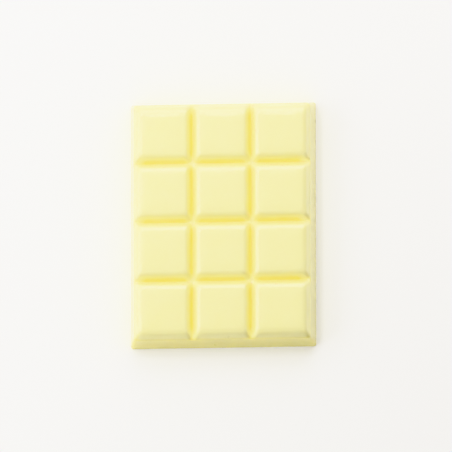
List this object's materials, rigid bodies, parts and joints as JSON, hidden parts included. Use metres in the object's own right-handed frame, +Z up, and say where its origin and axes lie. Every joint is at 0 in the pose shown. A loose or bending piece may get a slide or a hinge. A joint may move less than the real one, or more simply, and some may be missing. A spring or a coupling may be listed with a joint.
{
  "type": "chocolate bar",
  "caption": "Unwrapped white chocolate bar: a thin drafted slab whose top is divided by rounded grooves into a grid of plain pillow-shaped squares, with a flat back.",
  "frame": {"origin": "centre of the bar's bounding box at the flat back it lies on", "axes": "+X along the short side, across the three columns of squares; +Y along the long side, across the four rows; +Z up out of the moulded top"},
  "size_m": [0.0646, 0.0864, 0.0105],
  "materials": {
    "white_chocolate": "creamy ivory-yellow white chocolate with a soft gloss, slightly translucent, deeper yellow in the grooves"
  },
  "bodies": {
    "root": {"chocolate_bar": "white_chocolate"}
  },
  "joints": []
}
